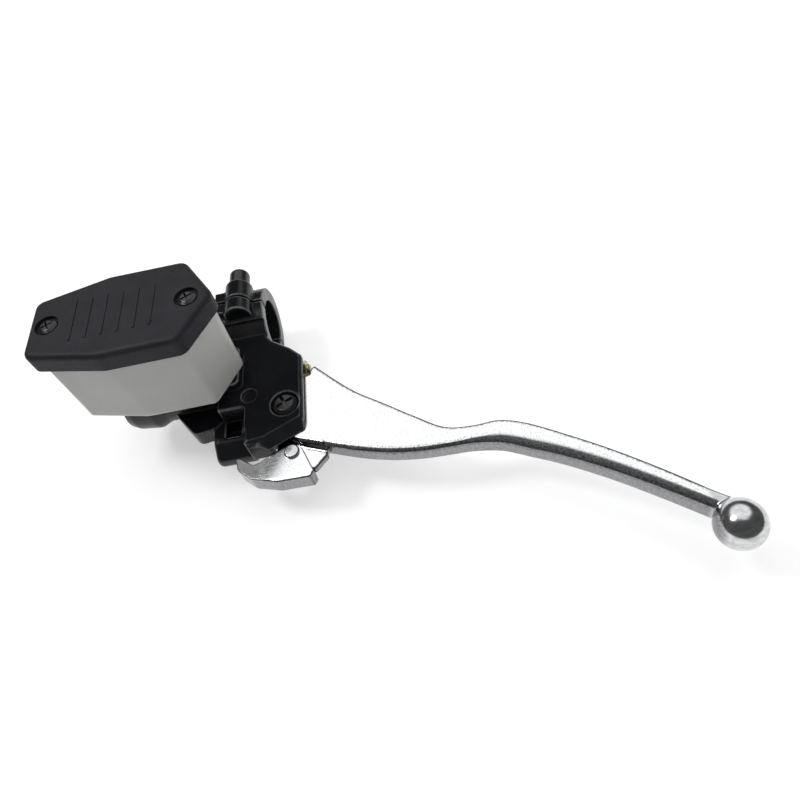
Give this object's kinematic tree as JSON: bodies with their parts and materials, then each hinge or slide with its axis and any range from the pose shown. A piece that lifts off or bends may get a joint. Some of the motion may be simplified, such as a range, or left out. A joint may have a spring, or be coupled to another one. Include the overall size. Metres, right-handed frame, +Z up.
{
  "type": "motorcycle front brake master cylinder",
  "caption": "Front brake master cylinder: split handlebar clamp, cast cylinder body, fluid reservoir with screwed cap, pivoting ball-ended hand lever and a parking latch.",
  "frame": {"origin": "centre of the handlebar clamp's bore", "axes": "+X along the handlebar towards the lever's ball end, +Y back towards the rider, +Z up, square to the reservoir's cap"},
  "size_m": [0.2518, 0.1614, 0.079],
  "materials": {
    "black_painted_alloy": "satin",
    "black_steel": "gloss",
    "milky_plastic": "satin",
    "white_plastic": "satin",
    "charcoal_plastic": "matte",
    "black_rubber": "matte",
    "zinc_steel": "satin",
    "spring_steel": "satin",
    "polished_steel": "gloss",
    "yellow_zinc_steel": "satin",
    "anodised_aluminium": "satin",
    "polished_aluminium": "gloss",
    "bronze": "satin"
  },
  "bodies": {
    "housing": {"body_casting": "black_painted_alloy", "bar_clamp_holder": "black_painted_alloy", "clamp_washer_upper": "black_steel", "clamp_washer_lower": "black_steel", "clamp_bolt_upper": "black_steel", "clamp_bolt_lower": "black_steel", "reservoir": "milky_plastic", "reservoir_seal": "black_rubber", "reservoir_screw_left": "zinc_steel", "reservoir_screw_right": "zinc_steel", "reservoir_cap": "charcoal_plastic", "cap_screw_left": "black_steel", "cap_screw_right": "black_steel", "diaphragm_plate": "white_plastic", "diaphragm": "black_rubber", "return_spring": "spring_steel", "stop_washer": "spring_steel", "circlip": "spring_steel", "dust_boot": "black_rubber", "pivot_bolt": "black_steel", "pivot_washer": "zinc_steel", "pivot_nut": "zinc_steel"},
    "lever": {"brake_lever": "polished_aluminium", "pivot_bush": "bronze", "adjuster_screw": "yellow_zinc_steel", "adjuster_locknut": "yellow_zinc_steel", "latch_rivet": "polished_steel", "latch_spring": "spring_steel"},
    "piston": {"piston": "anodised_aluminium", "primary_cup": "black_rubber", "secondary_cup": "black_rubber"},
    "latch": {"parking_latch": "polished_aluminium"}
  },
  "joints": [
    {"name": "lever_pivot", "type": "hinge", "parent": "housing", "child": "lever", "pos_m": [0.019, -0.053, 0], "axis": [0, 0, 1], "range_deg": [0, 15], "stiffness_Nm_per_rad": 1, "springref_deg": -17.19},
    {"name": "piston_slide", "type": "slide", "parent": "housing", "child": "piston", "axis": [-1, 0, 0], "range_m": [0, 0.0062], "deforming": ["return_spring", "dust_boot"]},
    {"name": "latch_pivot", "type": "hinge", "parent": "lever", "child": "latch", "pos_m": [0.02, -0.073, 0], "axis": [0, 0, -1], "range_deg": [0, 13], "stiffness_Nm_per_rad": 0.02, "springref_deg": -17.19, "deforming": ["latch_spring"]}
  ],
  "couplings": [
    {"joint": "piston_slide", "follows": "lever_pivot", "m_per_rad": 0.022}
  ]
}
